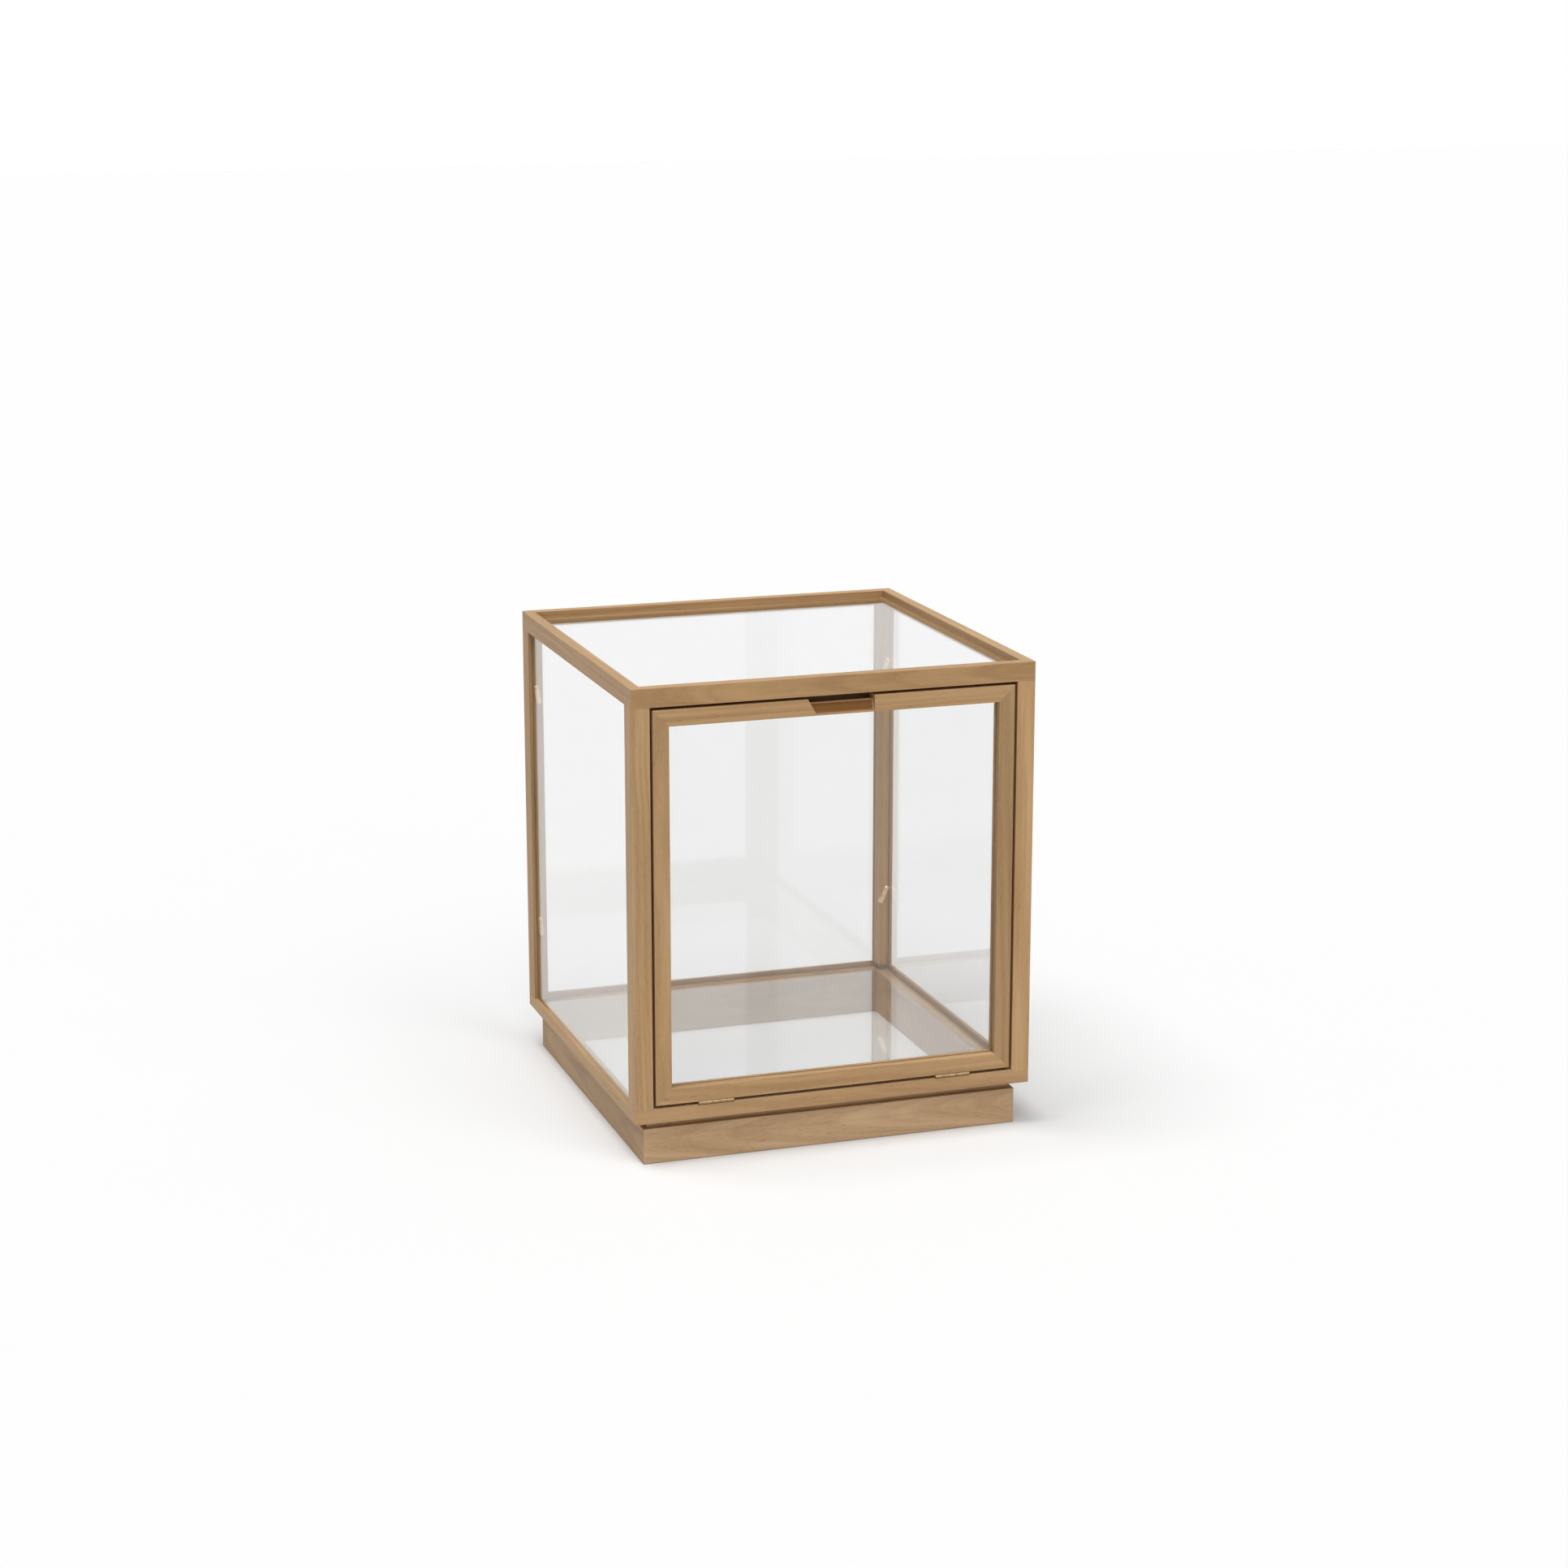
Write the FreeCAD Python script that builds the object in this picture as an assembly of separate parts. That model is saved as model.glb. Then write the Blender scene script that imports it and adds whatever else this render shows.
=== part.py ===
import FreeCAD, Part
import math
import os

# Glass display case: an oak frame on a set-back plinth, glazed on five sides, with a drop-down glass door.
# Millimetres. +Z is up, the front faces -Y, and the origin is on the floor under the middle of the case.

# Overall size
case_half = 200.0
case_height = 464.0
edge_ease = 0.7
joint_gap = 0.05

# Plinth
plinth_height = 43.5
plinth_inset = 10.8
plinth_thickness = 9.0
plinth_groove_height = 8.5
plinth_groove_depth = 4.9
plinth_spline_height = 24.0
plinth_spline_reach = 3.4

# Base frame
base_height = 12.0
base_width = 15.7
base_ledge = 4.1
pane_lip = 3.5
rebate_depth = 9.0
sill_rise = 2.3

# Posts
post_width = 18.0
post_depth = 22.5
stop_width = 4.0
stop_depth = 5.0

# Top frame
top_height = 18.6
top_width = 18.0
top_lip = 11.0
top_glass_drop = 6.8
ledge_thickness = 2.4

# Glass
glass_thickness = 4.0
glass_gap = 0.1
groove_depth = 5.0

# Door
door_half_width = 179.5
door_gap = 2.8
door_thickness = 17.0
door_member = 16.0
door_glass_setback = 7.0
bead_width = 6.0

# Strip that the door's top closes against
strip_thickness = 4.5
strip_drop = 10.0

# Finger notch in the door's top rail
notch_left_top = -28.5
notch_left_bottom = -20.0
notch_right = 37.5
notch_depth = 5.0
notch_drop = 4.0
notch_lip = 3.0
notch_hook = 4.0
notch_foot = 1.2
notch_foot_depth = 0.8

# Hinges
hinge_length = 35.0
hinge_centre = 120.0
knuckle_count = 5
knuckle_radius = 1.75
knuckle_gap = 0.3
pin_radius = 0.9
pin_clearance = 0.05
leaf_thickness = 1.2
leaf_reach = 13.0
axis_setback = 0.6
hinge_screw_spread = 11.5
hinge_screw_setback = 9.5
hinge_screw_length = 9.0

# Turn buttons on the rear posts
button_length = 20.0
button_radius = 2.4
button_thickness = 1.8
button_setin = 10.2
button_heights = {"upper": 388.0, "lower": 142.0}
button_tilts = {"upper_left": 12.0, "upper_right": 16.0, "lower_left": 4.0, "lower_right": 24.0}
button_screw_radius = 1.2
button_screw_length = 12.0

# Dowels and catch
dowel_radius = 3.0
dowel_clearance = 0.03
catch_offset = 140.0
magnet_radius = 3.0
magnet_height = 4.0
strike_height = 1.5

# Levels and positions that follow from the sizes above
base_top = plinth_height + base_height
rebate_floor = base_top - rebate_depth
sill_top = base_top + sill_rise
top_underside = case_height - top_height
top_glass_floor = case_height - top_glass_drop - glass_thickness
ledge_underside = top_glass_floor - ledge_thickness
door_bottom = sill_top + door_gap
door_top = top_underside - door_gap
post_inner = case_half - post_width
front_post_back = post_depth - case_half
rear_post_front = case_half - post_depth
pane_outer = case_half - pane_lip - glass_gap
pane_inner = pane_outer - glass_thickness
groove_inner = pane_inner - glass_gap
groove_outer = pane_outer + glass_gap
axis_y = axis_setback - case_half
axis_z = sill_top + door_gap / 2

up = FreeCAD.Vector(0, 0, 1)
across = FreeCAD.Vector(1, 0, 0)
back = FreeCAD.Vector(0, 1, 0)


def point(x, y, z):
    return FreeCAD.Vector(x, y, z)


def box(low, high):
    size = point(*high) - point(*low)
    return Part.makeBox(size.x, size.y, size.z, point(*low))


def rod(radius, start, direction, length):
    return Part.makeCylinder(radius, length, point(*start), direction)


def rounded_wire(corners, radii):
    # Closed outline of straight runs, each corner replaced by an arc of its own radius
    count = len(corners)
    spans = []
    for i in range(count):
        corner = corners[i]
        before = (corners[i - 1] - corner).normalize()
        after = (corners[(i + 1) % count] - corner).normalize()
        radius = radii[i]
        if radius == 0:
            spans.append((corner, None, corner))
            continue
        half_angle = before.getAngle(after) / 2
        reach = radius / math.tan(half_angle)
        middle_way = (before + after).normalize()
        middle = corner + middle_way * (radius / math.sin(half_angle) - radius)
        spans.append((corner + before * reach, middle, corner + after * reach))
    edges = []
    for i in range(count):
        start, middle, end = spans[i]
        following = spans[(i + 1) % count][0]
        if middle is not None:
            edges.append(Part.Arc(start, middle, end).toShape())
        edges.append(Part.makeLine(end, following))
    return Part.Wire(edges)


def prism(corners, radii, sweep):
    return Part.Face(rounded_wire(corners, radii)).extrude(sweep)


def plain_prism(corners, sweep):
    return prism(corners, [0] * len(corners), sweep)


def mitred_member(start, end, third, profile, radii, width):
    # Bar from start to end with its profile given as (inward, third) pairs and both ends cut at 45 degrees
    along = (end - start).normalize()
    inward = third.cross(along)
    length = (end - start).Length
    outline = [start + inward * d + third * t for d, t in profile]
    bar = prism(outline, radii, along * length)
    low = min(t for d, t in profile) - 1
    high = max(t for d, t in profile) + 1
    slack = joint_gap * math.sqrt(2)
    plan = [(slack, 0), (length - slack, 0), (length - slack - width, width), (slack + width, width)]
    wedge_corners = [start + along * a + inward * d + third * low for a, d in plan]
    return bar.common(plain_prism(wedge_corners, third * (high - low)))


def square_corners(half):
    return [point(-half, -half, 0), point(half, -half, 0), point(half, half, 0), point(-half, half, 0)]


def square_frame(half, profile, radii, width):
    # Four mitred members of a square frame lying flat, with its upright outer corners eased
    corners = square_corners(half)
    low = min(t for d, t in profile) - 1
    high = max(t for d, t in profile) + 1
    trim = prism([c + up * low for c in corners], [edge_ease] * 4, up * (high - low))
    members = {}
    for i, side in enumerate(("front", "right", "back", "left")):
        member = mitred_member(corners[i], corners[(i + 1) % 4], up, profile, radii, width)
        members[side] = member.common(trim)
    return members


def door_frame(half_width, low, high, face, profile, radii, width):
    # Four mitred members of an upright frame, seen from the front
    corners = {
        "bottom_left": point(-half_width, face, low),
        "top_left": point(-half_width, face, high),
        "top_right": point(half_width, face, high),
        "bottom_right": point(half_width, face, low),
    }
    runs = {
        "bottom": ("bottom_right", "bottom_left"),
        "left": ("bottom_left", "top_left"),
        "top": ("top_left", "top_right"),
        "right": ("top_right", "bottom_right"),
    }
    members = {}
    for side, (first, last) in runs.items():
        members[side] = mitred_member(corners[first], corners[last], back, profile, radii, width)
    return members


def mirrored(shape):
    return shape.mirror(point(0, 0, 0), across)


parts = {}

# Plinth boards, with a shadow groove under the base frame and a hidden spline across each mitre
plinth_half = case_half - plinth_inset
groove_bottom = plinth_height - plinth_groove_height
plinth_profile = [
    (0, 0),
    (0, groove_bottom),
    (plinth_groove_depth, groove_bottom),
    (plinth_groove_depth, plinth_height),
    (plinth_thickness, plinth_height),
    (plinth_thickness, 0),
]
plinth_boards = square_frame(plinth_half, plinth_profile, [edge_ease, 0.5, 0, 0, 0, 0], plinth_thickness)
spline_low = (groove_bottom - plinth_spline_height) / 2
corner_point = plinth_half - plinth_thickness / 2


def plinth_spline(turn, growth):
    # Thin upright plate standing across the mitre
    reach = plinth_spline_reach + growth
    half_thick = 1.0 + growth
    plate = box(
        (-half_thick, -reach, spline_low - growth),
        (half_thick, reach, spline_low + plinth_spline_height + growth),
    )
    plate.rotate(point(0, 0, 0), up, -45)
    plate.translate(point(corner_point, -corner_point, 0))
    plate.rotate(point(0, 0, 0), up, turn)
    return plate


for turn in (0, 90, 180, 270):
    slot = plinth_spline(turn, 0.05)
    for side in plinth_boards:
        plinth_boards[side] = plinth_boards[side].cut(slot)
parts["plinth_splines"] = [plinth_spline(turn, 0) for turn in (0, 90, 180, 270)]
for side, board in plinth_boards.items():
    parts["plinth_" + side] = board

# Base frame rails, each with a ledge inside that stands on the plinth and carries the base glass.
# The left, right and back rails are rebated for the panes. The front rail has a raised sill under the door.
base_profile = [
    (0, plinth_height),
    (0, base_top),
    (base_width, base_top),
    (base_width, rebate_floor),
    (base_width + base_ledge, rebate_floor),
    (base_width + base_ledge, plinth_height),
]
base_rails = square_frame(case_half, base_profile, [edge_ease, 0.4, 0.4, 0, 0, 0], base_width + base_ledge)
side_rebate_front = -post_inner - 1.0
side_rebate_back = rear_post_front + groove_depth
back_rebate_half = post_inner + groove_depth
cut_top = base_top + 1.0
base_rails["right"] = base_rails["right"].cut(
    box((case_half - 30, side_rebate_front, rebate_floor), (groove_outer, side_rebate_back, cut_top))
)
base_rails["left"] = base_rails["left"].cut(
    box((-groove_outer, side_rebate_front, rebate_floor), (30 - case_half, side_rebate_back, cut_top))
)
base_rails["back"] = base_rails["back"].cut(
    box((-back_rebate_half, case_half - 30, rebate_floor), (back_rebate_half, groove_outer, cut_top))
)
sill_half = post_inner - glass_gap
sill_profile = [
    point(-sill_half, -case_half, base_top - 1.0),
    point(-sill_half, -case_half, sill_top),
    point(-sill_half, base_width - case_half, sill_top),
    point(-sill_half, base_width - case_half, base_top - 1.0),
]
sill = prism(sill_profile, [0, 0.4, 0.4, 0], across * (2 * sill_half))
base_rails["front"] = base_rails["front"].fuse(sill).removeSplitter()

# Top frame rails: a glass rebate above, pane grooves below, and a thin ledge under the glass between the posts
top_profile = [
    (0, top_underside),
    (0, case_height),
    (top_lip, case_height),
    (top_lip, top_glass_floor),
    (top_width, top_glass_floor),
    (top_width, top_underside),
]
top_rails = square_frame(case_half, top_profile, [0.4, edge_ease, edge_ease, 0, 0.3, 0.4], top_width)
groove_top = top_underside + groove_depth
side_groove_half = post_inner + 0.5
top_rails["right"] = top_rails["right"].cut(
    box((groove_inner, -side_groove_half, top_underside - 1), (groove_outer, side_groove_half, groove_top))
)
top_rails["left"] = top_rails["left"].cut(
    box((-groove_outer, -side_groove_half, top_underside - 1), (-groove_inner, side_groove_half, groove_top))
)
top_rails["back"] = top_rails["back"].cut(
    box((-back_rebate_half, groove_inner, top_underside - 1), (back_rebate_half, groove_outer, groove_top))
)
lip_inner = case_half - top_lip
top_rails["right"] = top_rails["right"].cut(
    box((post_inner - 1, front_post_back, top_underside - 1), (lip_inner, rear_post_front, ledge_underside))
)
top_rails["left"] = top_rails["left"].cut(
    box((-lip_inner, front_post_back, top_underside - 1), (1 - post_inner, rear_post_front, ledge_underside))
)
top_rails["back"] = top_rails["back"].cut(
    box((-post_inner, post_inner - 1, top_underside - 1), (post_inner, lip_inner, ledge_underside))
)
strip_half = post_inner - stop_width - joint_gap
strip_front = top_width - case_half
parts["stop_strip"] = box(
    (-strip_half, strip_front, top_underside - strip_drop),
    (strip_half, strip_front + strip_thickness, top_glass_floor - glass_gap),
)

# Posts, built on the right and mirrored to the left
front_post_plan = [
    point(case_half, -case_half, base_top),
    point(case_half, front_post_back, base_top),
    point(post_inner - stop_width, front_post_back, base_top),
    point(post_inner - stop_width, front_post_back - stop_depth, base_top),
    point(post_inner, front_post_back - stop_depth, base_top),
    point(post_inner, -case_half, base_top),
]
post_height = top_underside - base_top
front_post = prism(front_post_plan, [edge_ease, 0.4, 0.4, 0.4, 0, 0.4], up * post_height)
front_post = front_post.cut(
    box((groove_inner, front_post_back - groove_depth, base_top - 1),
        (groove_outer, front_post_back + 1, top_underside + 1))
)
rear_post_plan = [
    point(post_inner, rear_post_front, base_top),
    point(case_half, rear_post_front, base_top),
    point(case_half, case_half, base_top),
    point(post_inner, case_half, base_top),
]
rear_post = prism(rear_post_plan, [edge_ease, 0.4, edge_ease, 0.4], up * post_height)
rear_post = rear_post.cut(
    box((groove_inner, rear_post_front - 1, base_top - 1),
        (groove_outer, rear_post_front + groove_depth, top_underside + 1))
)
rear_post = rear_post.cut(
    box((post_inner - 1, groove_inner, base_top - 1),
        (post_inner + groove_depth, groove_outer, top_underside + 1))
)
posts = {
    "front_right": front_post,
    "front_left": mirrored(front_post),
    "rear_right": rear_post,
    "rear_left": mirrored(rear_post),
}

# Dowels that pin the posts to the base and top frames
base_dowels = []
top_dowels = []
for name in posts:
    side_x = 1 if "right" in name else -1
    side_y = 1 if "rear" in name else -1
    low_spot = (side_x * (case_half - 7.0), side_y * (case_half - 8.0), plinth_height + 2.0)
    high_spot = (side_x * (case_half - 7.5), side_y * (case_half - 7.5), top_underside - 20.0)
    low_length = 24.5
    high_length = 31.5
    base_dowels.append(rod(dowel_radius, low_spot, up, low_length))
    top_dowels.append(rod(dowel_radius, high_spot, up, high_length))
    low_hole = rod(dowel_radius + dowel_clearance, low_spot, up, low_length)
    high_hole = rod(dowel_radius + dowel_clearance, high_spot, up, high_length)
    posts[name] = posts[name].cut(low_hole).cut(high_hole)
    for side in base_rails:
        base_rails[side] = base_rails[side].cut(low_hole)
        top_rails[side] = top_rails[side].cut(high_hole)
parts["base_dowels"] = base_dowels
parts["top_dowels"] = top_dowels

# Fixed glass
base_glass_half = pane_inner - 2 * glass_gap
base_glass_top = rebate_floor + glass_thickness
base_glass = box(
    (-base_glass_half, base_width - case_half + 0.3, rebate_floor),
    (base_glass_half, base_glass_half, base_glass_top),
)
front_corner = (post_inner - stop_width - 0.2, front_post_back + 0.2, -20)
rear_corner = (post_inner - 0.2, rear_post_front - 0.2, 20)
for side_x in (-1, 1):
    for corner_x, corner_y, reach in (front_corner, rear_corner):
        low = (min(side_x * corner_x, side_x * case_half), min(corner_y, corner_y + reach), rebate_floor - 1)
        high = (max(side_x * corner_x, side_x * case_half), max(corner_y, corner_y + reach), base_glass_top + 1)
        base_glass = base_glass.cut(box(low, high))
parts["base_glass"] = base_glass
top_glass_half = case_half - top_lip - 0.4
parts["top_glass"] = box(
    (-top_glass_half, -top_glass_half, top_glass_floor),
    (top_glass_half, top_glass_half, top_glass_floor + glass_thickness),
)
pane_top = groove_top - 0.4
side_pane_half = post_inner + 0.2
parts["right_pane"] = box((pane_inner, -side_pane_half, rebate_floor), (pane_outer, side_pane_half, pane_top))
parts["left_pane"] = box((-pane_outer, -side_pane_half, rebate_floor), (-pane_inner, side_pane_half, pane_top))
back_pane_half = back_rebate_half - 0.3
parts["back_pane"] = box((-back_pane_half, pane_inner, rebate_floor), (back_pane_half, pane_outer, pane_top))

# Turn buttons: a flat bar that hangs from one screw at its upper end, on the front of each rear post
button_screws = []
button_face = rear_post_front - 0.2
button_front = button_face - button_thickness
arm = button_length - 2 * button_radius
for level, height in button_heights.items():
    for hand, side_x in (("left", -1), ("right", 1)):
        name = level + "_" + hand
        pivot = point(side_x * (case_half - button_setin), 0, height)
        bar = rod(button_radius, (0, button_front, 0), back, button_thickness)
        bar = bar.fuse(rod(button_radius, (0, button_front, -arm), back, button_thickness))
        bar = bar.fuse(
            box((-button_radius, button_front, -arm), (button_radius, button_face, 0))
        )
        bar = bar.removeSplitter()
        bar = bar.cut(rod(button_screw_radius + pin_clearance, (0, button_front - 1, 0), back, 5.0))
        bar.rotate(point(0, 0, 0), back, side_x * button_tilts[name])
        bar.translate(pivot)
        parts["turn_button_" + name] = bar
        shank_start = (pivot.x, button_front - 0.2, height)
        shank_length = button_screw_length
        shank = rod(button_screw_radius, shank_start, back, shank_length)
        head = Part.makeSphere(2.6, point(pivot.x, button_front + 1.2, height))
        head = head.common(
            box((pivot.x - 4, button_front - 4, height - 4), (pivot.x + 4, button_front - 0.2, height + 4))
        )
        slot = box((pivot.x - 4, button_front - 4, height - 0.3), (pivot.x + 4, button_front - 0.9, height + 0.3))
        button_screws.append(shank.fuse(head.cut(slot)))
        hole_start = (pivot.x, rear_post_front - 1, height)
        hole_length = shank_length - 0.2
        hole = rod(button_screw_radius + dowel_clearance, hole_start, back, hole_length)
        posts["rear_" + hand] = posts["rear_" + hand].cut(hole)
parts["turn_button_screws"] = button_screws

# Door frame, its glass and the beads that hold the glass from behind
face = -case_half
door_profile = [
    (0, 0),
    (door_member, 0),
    (door_member, door_glass_setback),
    (door_member - bead_width, door_glass_setback),
    (door_member - bead_width, door_thickness),
    (0, door_thickness),
]
door_radii = [edge_ease, edge_ease, 0, 0, 0, 0.4]
door_members = door_frame(door_half_width, door_bottom, door_top, face, door_profile, door_radii, door_member)
glass_inset = door_member - bead_width + 0.5
glass_front = face + door_glass_setback + glass_gap
parts["door_glass"] = box(
    (glass_inset - door_half_width, glass_front, door_bottom + glass_inset),
    (door_half_width - glass_inset, glass_front + glass_thickness, door_top - glass_inset),
)
bead_inset = door_member - bead_width + joint_gap
bead_front = glass_front + glass_thickness + glass_gap
bead_depth = face + door_thickness - bead_front
bead_profile = [
    (0, 0),
    (bead_width - joint_gap, 0),
    (bead_width - joint_gap, bead_depth),
    (0, bead_depth),
]
beads = door_frame(
    door_half_width - bead_inset,
    door_bottom + bead_inset,
    door_top - bead_inset,
    bead_front,
    bead_profile,
    [0, 0, 1.5, 0],
    bead_width,
)
for side, bead in beads.items():
    parts["door_bead_" + side] = bead

# Hidden splines across the door's mitres
door_splines = []
spline_front = face + 2.8
for side_x in (-1, 1):
    for corner_z, lean in ((door_bottom + 8.0, 1), (door_top - 8.0, -1)):
        plate = Part.makeBox(8.0, 1.6, 12.0, point(-4.0, spline_front, -6.0))
        slot = Part.makeBox(8.1, 1.7, 12.1, point(-4.05, spline_front - 0.05, -6.05))
        for piece in (plate, slot):
            piece.rotate(point(0, spline_front, 0), back, 45 * side_x * lean)
            piece.translate(point(side_x * (door_half_width - 8.0), 0, corner_z))
        door_splines.append(plate)
        for side in door_members:
            door_members[side] = door_members[side].cut(slot)
parts["door_mitre_splines"] = door_splines

# Finger notch: the front slopes back to a lowered lip, and a hollow behind the lip takes the fingertips
notch_foot_z = door_top - door_member + notch_foot
notch_lip_z = door_top - notch_drop
notch_hook_z = notch_lip_z - notch_hook
notch_section = [
    point(-60, face - 1, notch_foot_z),
    point(-60, face + notch_foot_depth, notch_foot_z),
    point(-60, face + notch_depth, notch_lip_z),
    point(-60, face + notch_depth + notch_lip, notch_lip_z),
    point(-60, face + notch_depth + notch_lip, notch_hook_z),
    point(-60, face + door_thickness + 1, notch_hook_z),
    point(-60, face + door_thickness + 1, door_top + 1),
    point(-60, face - 1, door_top + 1),
]
notch_wedge = prism(notch_section, [0, 0, 1.2, 1.0, 1.5, 0, 0, 0], across * 120)
notch_slant = (notch_left_bottom - notch_left_top) / (door_top - notch_foot_z)
notch_outline = [
    point(notch_left_bottom, face - 2, notch_foot_z),
    point(notch_left_top - notch_slant, face - 2, door_top + 1),
    point(notch_right, face - 2, door_top + 1),
    point(notch_right, face - 2, notch_foot_z),
]
notch = notch_wedge.common(plain_prism(notch_outline, back * (door_thickness + 4)))
door_members["top"] = door_members["top"].cut(notch)

# Magnets under the front top rail and steel discs in the door's top edge
magnets = []
strikes = []
catch_y = face + 6.5
for side_x in (-1, 1):
    spot = (side_x * catch_offset, catch_y, top_underside)
    magnets.append(rod(magnet_radius, spot, up, magnet_height))
    pocket = rod(magnet_radius + dowel_clearance, spot, up, magnet_height)
    top_rails["front"] = top_rails["front"].cut(pocket)
    strike_spot = (side_x * catch_offset, catch_y, door_top - strike_height)
    strikes.append(rod(magnet_radius, strike_spot, up, strike_height))
    pocket = rod(magnet_radius + dowel_clearance, strike_spot, up, strike_height + 1)
    door_members["top"] = door_members["top"].cut(pocket)
parts["catch_magnets"] = magnets
parts["catch_strikes"] = strikes

# Butt hinges in the gap under the door
frame_screws = []
door_screws = []
segment = hinge_length / knuckle_count
leaf_back = axis_y + leaf_reach
plate_front = axis_y + knuckle_radius + 0.3


def hinge_leaf(centre, low, high, order):
    # Flat plate with every second knuckle, bored for the pin
    start = centre - hinge_length / 2
    leaf = box((start, plate_front, low), (start + hinge_length, leaf_back, high))
    for i in range(order, knuckle_count, 2):
        left = start + i * segment + knuckle_gap / 2
        right = left + segment - knuckle_gap
        leaf = leaf.fuse(rod(knuckle_radius, (left, axis_y, axis_z), across, right - left))
        leaf = leaf.fuse(box((left, axis_y, low), (right, plate_front + 0.5, high)))
    leaf = leaf.removeSplitter()
    return leaf.cut(rod(pin_radius + pin_clearance, (start - 1, axis_y, axis_z), across, hinge_length + 2))


def countersunk(spot, direction, growth):
    # Flush conical head on a plain shank; growth makes the hole for it
    head = Part.makeCone(2.2 + growth, 1.1 + growth, 1.1, spot, direction)
    return head.fuse(Part.makeCylinder(1.1 + growth, hinge_screw_length, spot, direction))


def slotted(screw, spot):
    # Screwdriver slot across the head
    return screw.cut(box((spot.x - 3, spot.y - 0.3, spot.z - 0.5), (spot.x + 3, spot.y + 0.3, spot.z + 0.5)))


for hand, centre in (("left", -hinge_centre), ("right", hinge_centre)):
    frame_leaf = hinge_leaf(centre, sill_top, sill_top + leaf_thickness, 0)
    door_leaf = hinge_leaf(centre, door_bottom - leaf_thickness, door_bottom, 1)
    knuckle_room = box(
        (centre - hinge_length / 2 - 0.6, face - 1, axis_z - knuckle_radius - 0.3),
        (centre + hinge_length / 2 + 0.6, plate_front - 0.05, axis_z + knuckle_radius + 0.3),
    )
    base_rails["front"] = base_rails["front"].cut(knuckle_room)
    door_members["bottom"] = door_members["bottom"].cut(knuckle_room)
    for offset in (-hinge_screw_spread, hinge_screw_spread):
        low_spot = point(centre + offset, face + hinge_screw_setback, sill_top + leaf_thickness)
        high_spot = point(centre + offset, face + hinge_screw_setback, door_bottom - leaf_thickness)
        frame_screws.append(slotted(countersunk(low_spot, -up, 0), low_spot))
        door_screws.append(slotted(countersunk(high_spot, up, 0), high_spot))
        low_hole = countersunk(low_spot, -up, dowel_clearance)
        high_hole = countersunk(high_spot, up, dowel_clearance)
        frame_leaf = frame_leaf.cut(low_hole)
        door_leaf = door_leaf.cut(high_hole)
        base_rails["front"] = base_rails["front"].cut(low_hole)
        door_members["bottom"] = door_members["bottom"].cut(high_hole)
    parts["hinge_frame_leaf_" + hand] = frame_leaf
    parts["hinge_door_leaf_" + hand] = door_leaf
    pin_start = centre - hinge_length / 2 - 0.2
    pin = rod(pin_radius, (pin_start, axis_y, axis_z), across, hinge_length + 0.4)
    parts["hinge_pin_" + hand] = pin
parts["hinge_frame_screws"] = frame_screws
parts["hinge_door_screws"] = door_screws

for side in base_rails:
    parts["base_rail_" + side] = base_rails[side]
    parts["top_rail_" + side] = top_rails[side]
for name, post in posts.items():
    parts["post_" + name] = post
parts["door_rail_top"] = door_members["top"]
parts["door_rail_bottom"] = door_members["bottom"]
parts["door_stile_left"] = door_members["left"]
parts["door_stile_right"] = door_members["right"]

os.makedirs("parts", exist_ok=True)
for name, shape in parts.items():
    pieces = shape if isinstance(shape, list) else [shape]
    solids = [solid for piece in pieces for solid in piece.Solids]
    if len(solids) != len(pieces) or not all(solid.isValid() for solid in solids):
        raise RuntimeError(name + " is not made of whole solids")
    body = solids[0] if len(solids) == 1 else Part.makeCompound(solids)
    body.exportStep("parts/" + name + ".step")
    print(name, len(solids), round(sum(solid.Volume for solid in solids), 1))
print(len(parts), "nodes")
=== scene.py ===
import math

import bpy
import numpy as np
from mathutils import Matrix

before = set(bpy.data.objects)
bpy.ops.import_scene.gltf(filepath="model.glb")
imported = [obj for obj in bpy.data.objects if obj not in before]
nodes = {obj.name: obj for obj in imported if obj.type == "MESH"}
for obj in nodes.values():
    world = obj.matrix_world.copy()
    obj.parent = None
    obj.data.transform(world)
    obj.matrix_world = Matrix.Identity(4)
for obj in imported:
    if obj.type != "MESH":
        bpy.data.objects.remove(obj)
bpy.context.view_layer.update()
print("frame loaded:", len(nodes), "nodes")


# small helpers for node trees

def newMaterial(name):
    material = bpy.data.materials.new(name)
    material.use_nodes = True
    material.node_tree.nodes.clear()
    return material, material.node_tree


def addNode(tree, kind, settings=None, values=None):
    node = tree.nodes.new(kind)
    for key, value in (settings or {}).items():
        setattr(node, key, value)
    for key, value in (values or {}).items():
        node.inputs[key].default_value = value
    return node


def join(tree, source, target):
    tree.links.new(source, target)


def mathNode(tree, operation, first, second=None, clamp=False):
    # each input is a socket or a plain number
    node = addNode(tree, "ShaderNodeMath", {"operation": operation, "use_clamp": clamp})
    for i, value in enumerate((first, second)):
        if value is None:
            continue
        if isinstance(value, (int, float)):
            node.inputs[i].default_value = value
        else:
            join(tree, value, node.inputs[i])
    return node.outputs[0]


def vectorOf(tree, x, y, z):
    node = addNode(tree, "ShaderNodeCombineXYZ")
    for i, value in enumerate((x, y, z)):
        if isinstance(value, (int, float)):
            node.inputs[i].default_value = value
        else:
            join(tree, value, node.inputs[i])
    return node.outputs[0]


def noiseOf(tree, vector, scale=1.0, detail=2.0, roughness=0.5):
    node = addNode(tree, "ShaderNodeTexNoise", None, {"Scale": scale, "Detail": detail, "Roughness": roughness})
    join(tree, vector, node.inputs["Vector"])
    return node.outputs["Fac"]


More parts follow.
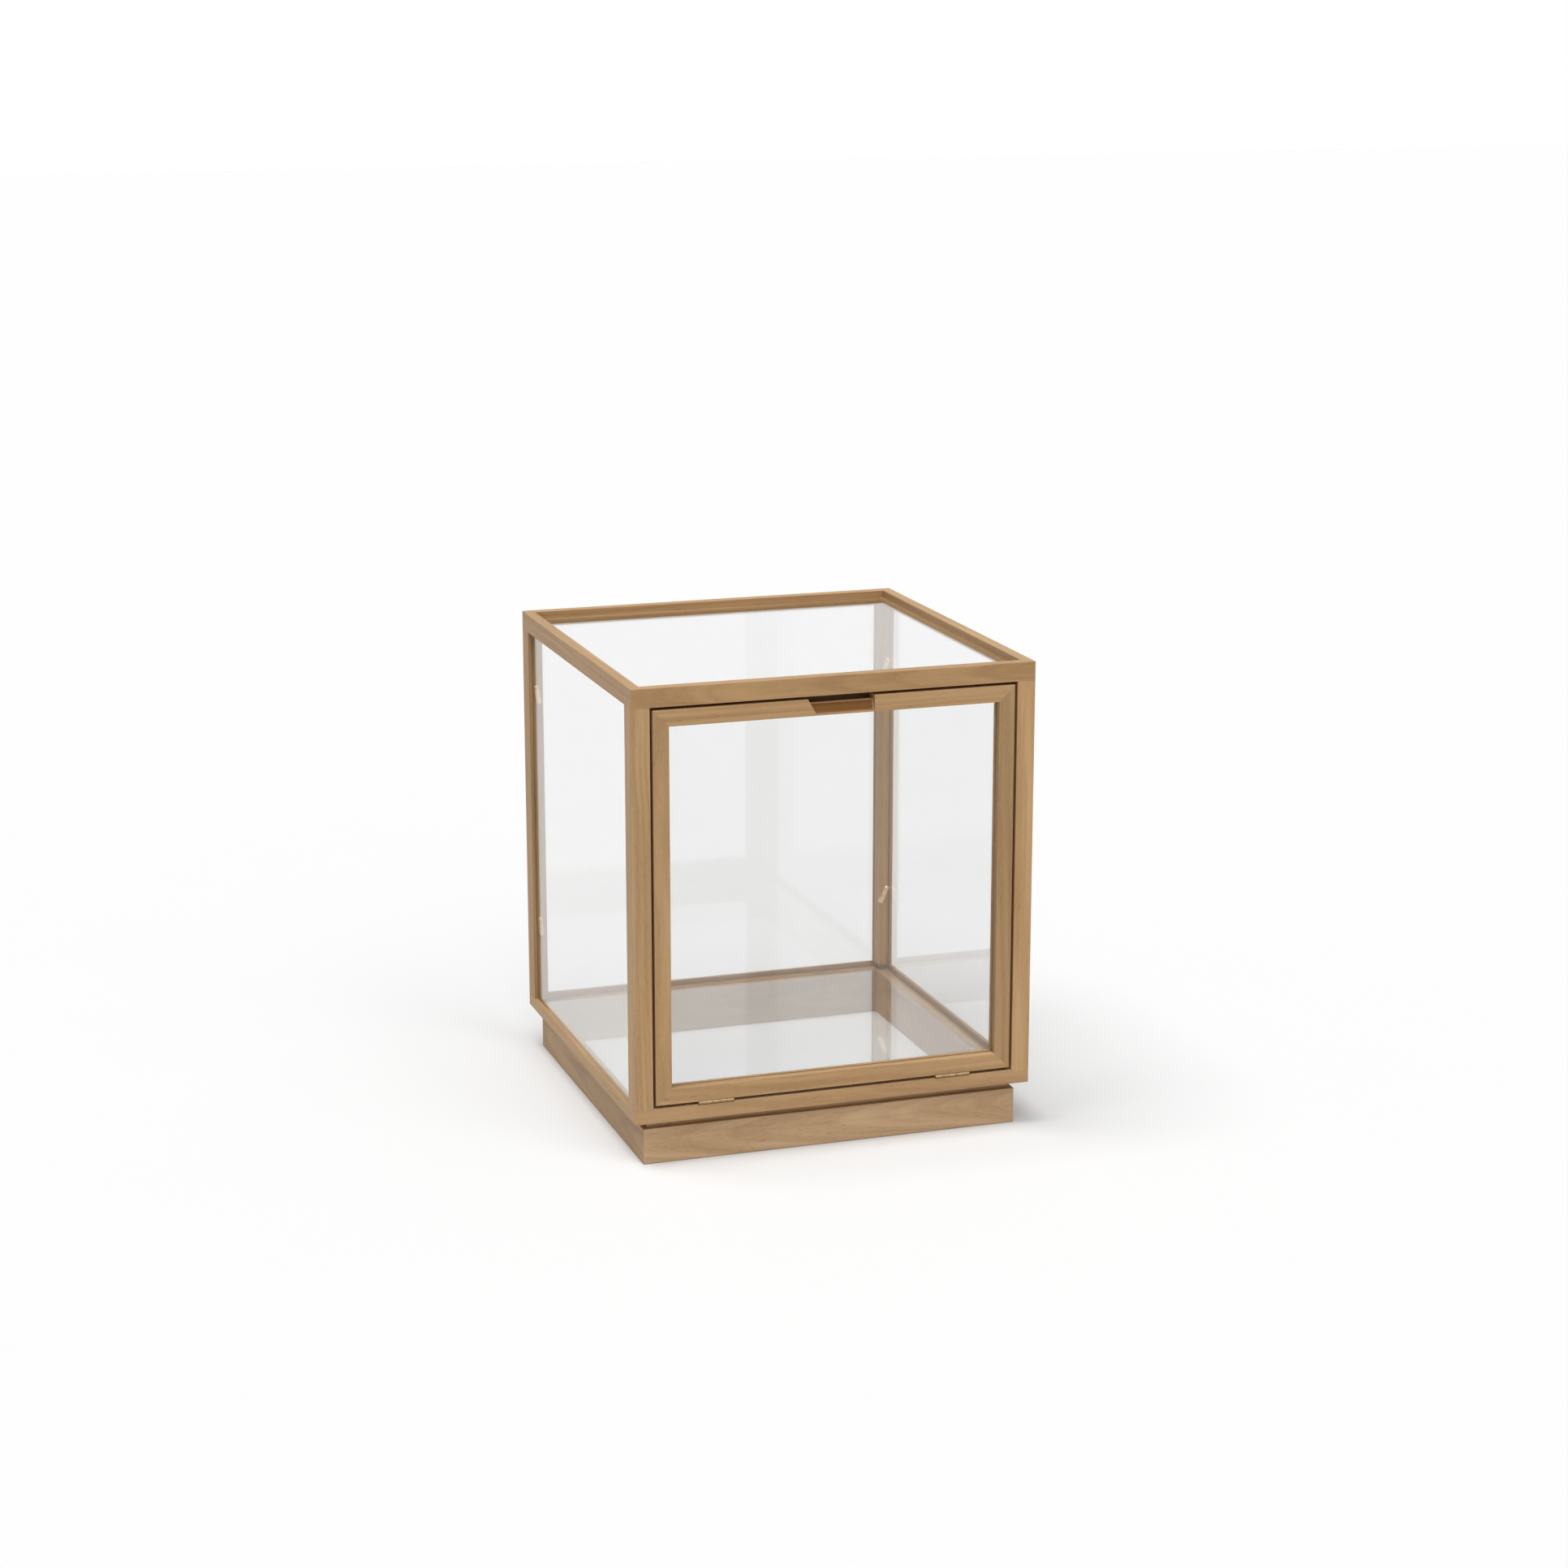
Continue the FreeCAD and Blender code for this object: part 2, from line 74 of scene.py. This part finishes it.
def rampOf(tree, value, low, high, lowTo=0.0, highTo=1.0):
    # smooth step from lowTo to highTo as the value goes from low to high
    node = addNode(tree, "ShaderNodeMapRange", {"interpolation_type": "SMOOTHSTEP"})
    join(tree, value, node.inputs["Value"])
    node.inputs["From Min"].default_value = low
    node.inputs["From Max"].default_value = high
    node.inputs["To Min"].default_value = lowTo
    node.inputs["To Max"].default_value = highTo
    return node.outputs["Result"]


def mixColour(tree, factor, first, second, blend="MIX"):
    node = addNode(tree, "ShaderNodeMix", {"data_type": "RGBA", "blend_type": blend})
    for socket, value in ((node.inputs["Factor"], factor), (node.inputs["A"], first), (node.inputs["B"], second)):
        if isinstance(value, (int, float)):
            socket.default_value = value
        elif isinstance(value, tuple):
            socket.default_value = (*value, 1.0)
        else:
            join(tree, value, socket)
    return node.outputs["Result"]


# oak: straight-grained light oak with growth rings, open pores and ray flecks

oakLooks = {
    "pale": (0.487, 0.303, 0.139),
    "deep": (0.307, 0.169, 0.064),
    "pore": (0.165, 0.082, 0.033),
    "fleck": (0.530, 0.345, 0.180),
    # edge colour: wear, and a painted highlight along every edge
    "wornAndHighlit": (0.540, 0.350, 0.185),
    "ringWidth": 0.0026,
    "bend": 0.007,
    "ringShare": 0.52,
    "streakShare": 0.52,
    "broadShare": 0.85,
    "fibreShare": 0.32,
    "figureShift": 0.01,
    "poreShare": 0.55,
    "fleckShare": 0.28,
    "roughness": 0.54,
    "bumpHeight": 0.00018,
    "bumpStrength": 0.35,
    "edgeMaskRadius": 0.0011,
}

# noises that are stretched along the grain: scale along it, scale across it, detail and place
grainNoises = {
    "broad": (4.0, 28.0, 2.0, 0.0),
    "streak": (7.0, 330.0, 3.0, 3.1),
    "fibre": (45.0, 1900.0, 2.0, 5.7),
    "pore": (110.0, 2500.0, 1.0, 8.3),
    "fleck": (130.0, 520.0, 1.0, 11.9),
}

# the finger notch's recess, darkened as painted shade: middle and half size of the darkened block, and what is left
# of the colour
notchLooks = {
    "middle": (0.0035, -0.1918, 0.4327),
    "half": (0.0330, 0.0076, 0.0054),
    "softness": 0.0010,
    "left": (0.400, 0.260, 0.115),
    "gloss": 0.08,
}

# beech for the hidden dowels and splines
beechLooks = dict(oakLooks, pale=(0.62, 0.44, 0.27), deep=(0.52, 0.34, 0.19), pore=(0.40, 0.24, 0.12))


def makeWood(name, looks, grain, seed, tone, pith=None, shadedNotch=None):
    # grain is the axis the fibres run along; the seed moves the piece to its own place in the log
    log = np.random.default_rng(seed)
    shiftAlong, shiftA, shiftB = [float(v) for v in log.uniform(-3, 3, 3)]
    pithA, pithB = [float(v) for v in log.uniform(0.07, 0.15, 2) * log.choice([-1, 1], 2)]
    lean = float(log.uniform(-0.025, 0.025))
    if pith:
        pithA, pithB, lean = pith
    material, tree = newMaterial(name)
    coords = addNode(tree, "ShaderNodeTexCoord").outputs["Object"]
    split = addNode(tree, "ShaderNodeSeparateXYZ")
    join(tree, coords, split.inputs[0])
    order = {"X": (0, 1, 2), "Y": (1, 0, 2), "Z": (2, 0, 1)}[grain]
    along, sideA, sideB = [split.outputs[i] for i in order]

    # slow bend of the fibres along the piece
    bendPlace = mathNode(tree, "ADD", mathNode(tree, "MULTIPLY", along, 5.0), shiftAlong)
    bendNoise = noiseOf(tree, vectorOf(tree, bendPlace, shiftA, shiftB), 1.0, 2.0)
    bend = mathNode(tree, "MULTIPLY", mathNode(tree, "SUBTRACT", bendNoise, 0.5), looks["bend"])
    a = mathNode(tree, "ADD", sideA, bend)
    b = mathNode(tree, "ADD", sideB, bend)

    # growth rings: distance from the log's pith, which leans a little against the piece
    leaning = mathNode(tree, "MULTIPLY", along, lean)
    fromPithA = mathNode(tree, "ADD", mathNode(tree, "SUBTRACT", a, pithA), leaning)
    fromPithB = mathNode(tree, "SUBTRACT", b, pithB)
    squares = mathNode(tree, "ADD", mathNode(tree, "POWER", fromPithA, 2.0), mathNode(tree, "POWER", fromPithB, 2.0))
    ringCount = mathNode(tree, "MULTIPLY", mathNode(tree, "SQRT", squares), 1.0 / looks["ringWidth"])
    ringPlace = mathNode(tree, "ADD", ringCount, shiftA * 9)
    ringPoint = vectorOf(tree, ringPlace, mathNode(tree, "MULTIPLY", along, 3.0), shiftB)
    rings = rampOf(tree, noiseOf(tree, ringPoint, 1.0, 3.0, 0.6), 0.30, 0.70)

    # broad tone, fine fibres, pores and flecks, each a noise stretched along the grain
    def stretched(kind):
        alongScale, acrossScale, detail, offset = grainNoises[kind]
        p = vectorOf(
            tree,
            mathNode(tree, "ADD", mathNode(tree, "MULTIPLY", along, alongScale), shiftAlong + offset),
            mathNode(tree, "ADD", mathNode(tree, "MULTIPLY", a, acrossScale), shiftA),
            mathNode(tree, "ADD", mathNode(tree, "MULTIPLY", b, acrossScale), shiftB),
        )
        return noiseOf(tree, p, 1.0, detail, 0.55)

    broad = stretched("broad")
    streak = stretched("streak")
    fibre = stretched("fibre")
    poreSpot = rampOf(tree, stretched("pore"), 0.62, 0.72)
    pores = mathNode(tree, "MULTIPLY", poreSpot, rampOf(tree, rings, 0.35, 0.85, 1.0, 0.35))
    flecks = rampOf(tree, stretched("fleck"), 0.66, 0.76)

    # the figure goes from 0, deep, to 1, pale; broad and fibre noise move it to either side
    figure = mathNode(tree, "MULTIPLY", rings, looks["ringShare"])
    figure = mathNode(tree, "ADD", figure, mathNode(tree, "MULTIPLY", streak, looks["streakShare"]))
    for noise, share in ((broad, looks["broadShare"]), (fibre, looks["fibreShare"])):
        centred = mathNode(tree, "SUBTRACT", noise, 0.5)
        figure = mathNode(tree, "ADD", figure, mathNode(tree, "MULTIPLY", centred, share))
    pale = tuple(c * t for c, t in zip(looks["pale"], tone))
    deep = tuple(c * t for c, t in zip(looks["deep"], tone))
    colour = mixColour(tree, mathNode(tree, "SUBTRACT", figure, looks["figureShift"], True), deep, pale)
    colour = mixColour(tree, mathNode(tree, "MULTIPLY", pores, looks["poreShare"]), colour, looks["pore"])
    colour = mixColour(tree, mathNode(tree, "MULTIPLY", flecks, looks["fleckShare"]), colour, looks["fleck"])

    # worn edges, lightened also as a painted highlight: where the rounded normal leaves the flat one
    rounded = addNode(tree, "ShaderNodeBevel", {"samples": 4}, {"Radius": looks["edgeMaskRadius"]})
    flat = addNode(tree, "ShaderNodeNewGeometry")
    facing = addNode(tree, "ShaderNodeVectorMath", {"operation": "DOT_PRODUCT"})
    join(tree, rounded.outputs[0], facing.inputs[0])
    join(tree, flat.outputs["Normal"], facing.inputs[1])
    edge = rampOf(tree, facing.outputs["Value"], 0.995, 0.80, 0.0, 1.0)
    wearAndHighlight = mathNode(tree, "MULTIPLY", edge, rampOf(tree, broad, 0.35, 0.65, 0.10, 0.45))
    colour = mixColour(tree, wearAndHighlight, colour, looks["wornAndHighlit"])

    if shadedNotch:
        # painted shade in the notch's recess: 1 inside the block and 0 outside, softly, along each axis in turn
        notchShade = rampOf(tree, broad, 0.25, 0.75, 0.80, 1.0)
        for i in range(3):
            away = mathNode(tree, "ABSOLUTE", mathNode(tree, "SUBTRACT", split.outputs[i], shadedNotch["middle"][i]))
            inner = shadedNotch["half"][i] - shadedNotch["softness"]
            notchShade = mathNode(tree, "MULTIPLY", notchShade, rampOf(tree, away, inner, shadedNotch["half"][i], 1.0, 0.0))
        notchShadedColour = mixColour(tree, 1.0, colour, shadedNotch["left"], "MULTIPLY")
        colour = mixColour(tree, notchShade, colour, notchShadedColour)

    roughness = mathNode(tree, "ADD", mathNode(tree, "MULTIPLY", fibre, 0.14), looks["roughness"] - 0.07)
    roughness = mathNode(tree, "ADD", roughness, mathNode(tree, "MULTIPLY", pores, 0.22))
    roughness = mathNode(tree, "SUBTRACT", roughness, mathNode(tree, "MULTIPLY", wearAndHighlight, 0.12), True)
    height = mathNode(tree, "ADD", mathNode(tree, "MULTIPLY", fibre, 0.45), mathNode(tree, "MULTIPLY", rings, 0.25))
    height = mathNode(tree, "SUBTRACT", height, pores)
    bump = addNode(
        tree, "ShaderNodeBump", None, {"Strength": looks["bumpStrength"], "Distance": looks["bumpHeight"]})
    join(tree, height, bump.inputs["Height"])

    surface = addNode(tree, "ShaderNodeBsdfPrincipled", None, {"IOR": 1.5})
    join(tree, colour, surface.inputs["Base Color"])
    join(tree, roughness, surface.inputs["Roughness"])
    join(tree, bump.outputs["Normal"], surface.inputs["Normal"])
    if shadedNotch:
        # the gloss is lowered there too, so the painted shade stays dark
        join(tree, rampOf(tree, notchShade, 0.0, 1.0, 0.5, shadedNotch["gloss"]), surface.inputs["Specular IOR Level"])
    output = addNode(tree, "ShaderNodeOutputMaterial")
    join(tree, surface.outputs[0], output.inputs["Surface"])
    return material


# which way the fibres run in each wooden piece
grainOf = {
    "X": ("plinth_front", "plinth_back", "base_rail_front", "base_rail_back", "top_rail_front", "top_rail_back",
          "door_rail_top", "door_rail_bottom", "door_bead_top", "door_bead_bottom", "stop_strip"),
    "Y": ("plinth_left", "plinth_right", "base_rail_left", "base_rail_right", "top_rail_left", "top_rail_right"),
    "Z": ("post_front_left", "post_front_right", "post_rear_left", "post_rear_right",
          "door_stile_left", "door_stile_right", "door_bead_left", "door_bead_right",
          "base_dowels", "top_dowels", "plinth_splines", "door_mitre_splines"),
}
beechNames = ("base_dowels", "top_dowels", "plinth_splines", "door_mitre_splines")


def dress(name, material):
    mesh = nodes[name].data
    mesh.materials.clear()
    mesh.materials.append(material)


# pieces from a darker or greyer board, some darkened as painted shade; the others vary a little by themselves
boardTonesAndShade = {
    "top_rail_front": (0.88, 0.85, 0.78),
    # the left top rail is darker, partly as painted shade on its left face
    "top_rail_left": (0.89, 0.89, 0.89),
    "top_rail_right": (0.93, 0.92, 0.90),
    "top_rail_back": (0.95, 0.92, 0.87),
    "door_stile_right": (0.84, 0.83, 0.81),
    "door_stile_left": (0.92, 0.92, 0.90),
    "post_front_right": (1.08, 1.08, 1.07),
    # the rear posts are darker in part as painted shade for the dimmer light inside the case, and yellower
    "post_rear_right": (0.98, 0.89, 0.64),
    "post_rear_left": (0.90, 0.88, 0.84),
    "plinth_front": (1.20, 1.32, 1.64),
    "plinth_left": (0.98, 1.03, 1.14),
    "plinth_back": (0.81, 0.85, 0.90),
    # the stop strip is darkened as painted shade in the gap above the door
    "stop_strip": (0.42, 0.36, 0.30),
}
# boards sawn near the log's middle, whose rings show as long arches: where the pith runs behind them, and its lean
archedBoards = {
    "plinth_front": (-0.154, 0.022, 0.055),
    "plinth_left": (-0.160, 0.020, -0.045),
    "plinth_back": (0.158, 0.024, -0.050),
    "plinth_right": (0.150, 0.020, 0.060),
    "top_rail_front": (-0.172, 0.457, 0.050),
}
toneSource = np.random.default_rng(41)
for grain, names in grainOf.items():
    for i, name in enumerate(names):
        ownTone = float(toneSource.uniform(0.955, 1.035))
        tone = boardTonesAndShade.get(name, (ownTone, ownTone, ownTone))
        looks = beechLooks if name in beechNames else oakLooks
        shadedNotch = notchLooks if name == "door_rail_top" else None
        seed = 100 * "XYZ".index(grain) + i + 7
        dress(name, makeWood("wood_" + name, looks, grain, seed, tone, archedBoards.get(name), shadedNotch))
print("wood dressed:", sum(len(names) for names in grainOf.values()), "pieces")


# clear float glass, with faint draw lines and a little handling haze

glassLooks = {
    "tint": (0.928, 0.931, 0.930),
    "lampTint": (0.965, 0.968, 0.967),
    "ripple": 0.00006,
    "rippleScale": 9.0,
    "haze": 0.018,
    "smearScale": 22.0,
    "bending": 1.60,
}
topGlassLooks = dict(glassLooks, lampTint=(0.950, 0.953, 0.952))
sideGlassLooks = dict(glassLooks, lampTint=(0.860, 0.866, 0.864))  # the lamps meet the side panes at a slant
# the floor glass is greyer, which darkens the floor seen through it as painted shade
floorGlassLooks = dict(glassLooks, tint=(0.908, 0.912, 0.912))  # a shade greyer


def makeGlass(name, looks, seed):
    material, tree = newMaterial(name)
    coords = addNode(tree, "ShaderNodeTexCoord").outputs["Object"]
    place = addNode(tree, "ShaderNodeVectorMath", {"operation": "ADD"})
    join(tree, coords, place.inputs[0])
    place.inputs[1].default_value = tuple(float(v) for v in np.random.default_rng(seed).uniform(-2, 2, 3))
    ripple = noiseOf(tree, place.outputs[0], looks["rippleScale"], 1.0)
    smear = noiseOf(tree, place.outputs[0], looks["smearScale"], 4.0, 0.65)
    bump = addNode(tree, "ShaderNodeBump", None, {"Strength": 0.15, "Distance": looks["ripple"]})
    join(tree, ripple, bump.inputs["Height"])
    surface = addNode(tree, "ShaderNodeBsdfPrincipled", None, {
        "Base Color": (*looks["tint"], 1.0), "IOR": looks["bending"], "Transmission Weight": 1.0})
    join(tree, rampOf(tree, smear, 0.52, 0.80, 0.0, looks["haze"]), surface.inputs["Roughness"])
    join(tree, bump.outputs["Normal"], surface.inputs["Normal"])
    through = addNode(tree, "ShaderNodeBsdfTransparent", None, {"Color": (*looks["lampTint"], 1.0)})
    # light on its way to wood or floor goes straight through, once, and only the eye sees the glass bend it
    rays = addNode(tree, "ShaderNodeLightPath")
    shown = surface.outputs[0]
    for kind in ("Is Shadow Ray", "Is Diffuse Ray"):
        both = addNode(tree, "ShaderNodeMixShader")
        join(tree, rays.outputs[kind], both.inputs[0])
        join(tree, shown, both.inputs[1])
        join(tree, through.outputs[0], both.inputs[2])
        shown = both.outputs[0]
    output = addNode(tree, "ShaderNodeOutputMaterial")
    join(tree, shown, output.inputs["Surface"])
    return material


glassSheets = {
    "base_glass": floorGlassLooks,
    "top_glass": topGlassLooks,
    "left_pane": sideGlassLooks,
    "right_pane": sideGlassLooks,
    "back_pane": glassLooks,
    "door_glass": glassLooks,
}
for i, (name, looks) in enumerate(glassSheets.items()):
    dress(name, makeGlass("glass_" + name, looks, 60 + i))
print("glass dressed:", len(glassSheets), "sheets")


# satin brass and the catch's plain steel

metalLooks = {
    "brass": {"bright": (0.80, 0.57, 0.31), "dull": (0.46, 0.30, 0.14), "roughness": 0.28, "scratch": 0.00003},
    "dull_brass": {"bright": (0.35, 0.24, 0.125), "dull": (0.23, 0.15, 0.075), "roughness": 0.48, "scratch": 0.00003},
    "steel": {"bright": (0.62, 0.62, 0.62), "dull": (0.40, 0.40, 0.41), "roughness": 0.34, "scratch": 0.00003},
}


def makeMetal(name, looks):
    material, tree = newMaterial(name)
    coords = addNode(tree, "ShaderNodeTexCoord").outputs["Object"]
    tarnish = rampOf(tree, noiseOf(tree, coords, 190.0, 4.0, 0.6), 0.42, 0.72)
    lines = addNode(tree, "ShaderNodeMapping", None, {"Scale": (180.0, 180.0, 6500.0), "Rotation": (0.2, 0.3, 0.1)})
    join(tree, coords, lines.inputs["Vector"])
    scratch = noiseOf(tree, lines.outputs[0], 1.0, 2.0)
    colour = mixColour(tree, mathNode(tree, "MULTIPLY", tarnish, 0.55), looks["bright"], looks["dull"])
    roughness = mathNode(tree, "ADD", mathNode(tree, "MULTIPLY", tarnish, 0.20), looks["roughness"])
    roughness = mathNode(tree, "ADD", roughness, mathNode(tree, "MULTIPLY", scratch, 0.08))
    bump = addNode(tree, "ShaderNodeBump", None, {"Strength": 0.4, "Distance": looks["scratch"]})
    join(tree, scratch, bump.inputs["Height"])
    surface = addNode(tree, "ShaderNodeBsdfPrincipled", None, {"Metallic": 1.0})
    join(tree, colour, surface.inputs["Base Color"])
    join(tree, roughness, surface.inputs["Roughness"])
    join(tree, bump.outputs["Normal"], surface.inputs["Normal"])
    output = addNode(tree, "ShaderNodeOutputMaterial")
    join(tree, surface.outputs[0], output.inputs["Surface"])
    return material


brass = makeMetal("satin_brass", metalLooks["brass"])
dullBrass = makeMetal("dull_brass", metalLooks["dull_brass"])
steel = makeMetal("plain_steel", metalLooks["steel"])
for name in nodes:
    if name.startswith("hinge_"):
        dress(name, dullBrass)
    elif name.startswith("turn_button"):
        dress(name, brass)
for name in ("catch_magnets", "catch_strikes"):
    dress(name, steel)
print("metal dressed")


# studio: pale floor, white surround, soft lamps and the camera

studio = {
    "floorColour": (0.744, 0.744, 0.744),
    "floorSize": 30.0,
    "floorDrop": 0.0003,  # keeps the floor's face clear of the plinth's
    "surroundLight": 0.20,
    "lamps": (
        # name, strength, angular size, height angle, turn from the front towards the left
        ("keyLamp", 1.05, 40.0, 58.0, 0.0),
        ("sideLamp", 2.02, 30.0, 73.0, 88.0),
        ("frontLamp", 0.70, 60.0, 42.0, -8.0),
        ("topLamp", 0.28, 70.0, 86.0, 0.0),
    ),
}


def makeFloor(looks):
    half = looks["floorSize"] / 2
    z = -looks["floorDrop"]
    corners = np.array([[-half, -half, z], [half, -half, z], [half, half, z], [-half, half, z]])
    mesh = bpy.data.meshes.new("floor")
    mesh.from_pydata(corners.tolist(), [], [(0, 1, 2, 3)])
    material, tree = newMaterial("pale_floor")
    coords = addNode(tree, "ShaderNodeTexCoord").outputs["Object"]
    mottle = noiseOf(tree, coords, 3.0, 3.0)
    low = tuple(0.992 * c for c in looks["floorColour"])
    colour = mixColour(tree, mottle, low, looks["floorColour"])
    surface = addNode(tree, "ShaderNodeBsdfDiffuse")
    join(tree, colour, surface.inputs["Color"])
    output = addNode(tree, "ShaderNodeOutputMaterial")
    join(tree, surface.outputs[0], output.inputs["Surface"])
    mesh.materials.append(material)
    floor = bpy.data.objects.new("floor", mesh)
    bpy.context.scene.collection.objects.link(floor)


def makeSurround(looks):
    # white to the eye, in mirrors and through glass, and a softer light on everything else,
    # also where that light comes to the floor or the wood through a pane
    world = bpy.data.worlds.new("surround")
    world.use_nodes = True
    tree = world.node_tree
    tree.nodes.clear()
    rays = addNode(tree, "ShaderNodeLightPath")
    seen = mathNode(tree, "MAXIMUM", rays.outputs["Is Camera Ray"], rays.outputs["Is Glossy Ray"])
    seen = mathNode(tree, "MAXIMUM", seen, rays.outputs["Is Transmission Ray"])
    seen = mathNode(tree, "MULTIPLY", seen, mathNode(tree, "LESS_THAN", rays.outputs["Diffuse Depth"], 0.5))
    strength = rampOf(tree, seen, 0.0, 1.0, looks["surroundLight"], 1.0)
    sky = addNode(tree, "ShaderNodeBackground", None, {"Color": (1.0, 1.0, 1.0, 1.0)})
    join(tree, strength, sky.inputs["Strength"])
    output = addNode(tree, "ShaderNodeOutputWorld")
    join(tree, sky.outputs[0], output.inputs["Surface"])
    bpy.context.scene.world = world


def makeLamp(name, strength, size, height, turn):
    lamp = bpy.data.lights.new(name, "SUN")
    lamp.energy = strength
    lamp.angle = math.radians(size)
    holder = bpy.data.objects.new(name, lamp)
    holder.rotation_euler = (math.radians(90 - height), 0.0, math.radians(-turn))
    bpy.context.scene.collection.objects.link(holder)


makeFloor(studio)
makeSurround(studio)
for lampValues in studio["lamps"]:
    makeLamp(*lampValues)

cameraPlace = {
    "position": (-1.0185, -3.0712, 1.1135),
    "turn": 18.60,
    "pitch": 13.90,
    "lens": 76.81,
}
view = bpy.data.cameras.new("camera")
view.sensor_width = 36.0
view.lens = cameraPlace["lens"]
camera = bpy.data.objects.new("camera", view)
camera.location = cameraPlace["position"]
camera.rotation_euler = (math.radians(90 - cameraPlace["pitch"]), 0.0, math.radians(-cameraPlace["turn"]))
bpy.context.scene.collection.objects.link(camera)
bpy.context.scene.camera = camera
bpy.context.scene.view_settings.view_transform = "Standard"
print("studio ready")
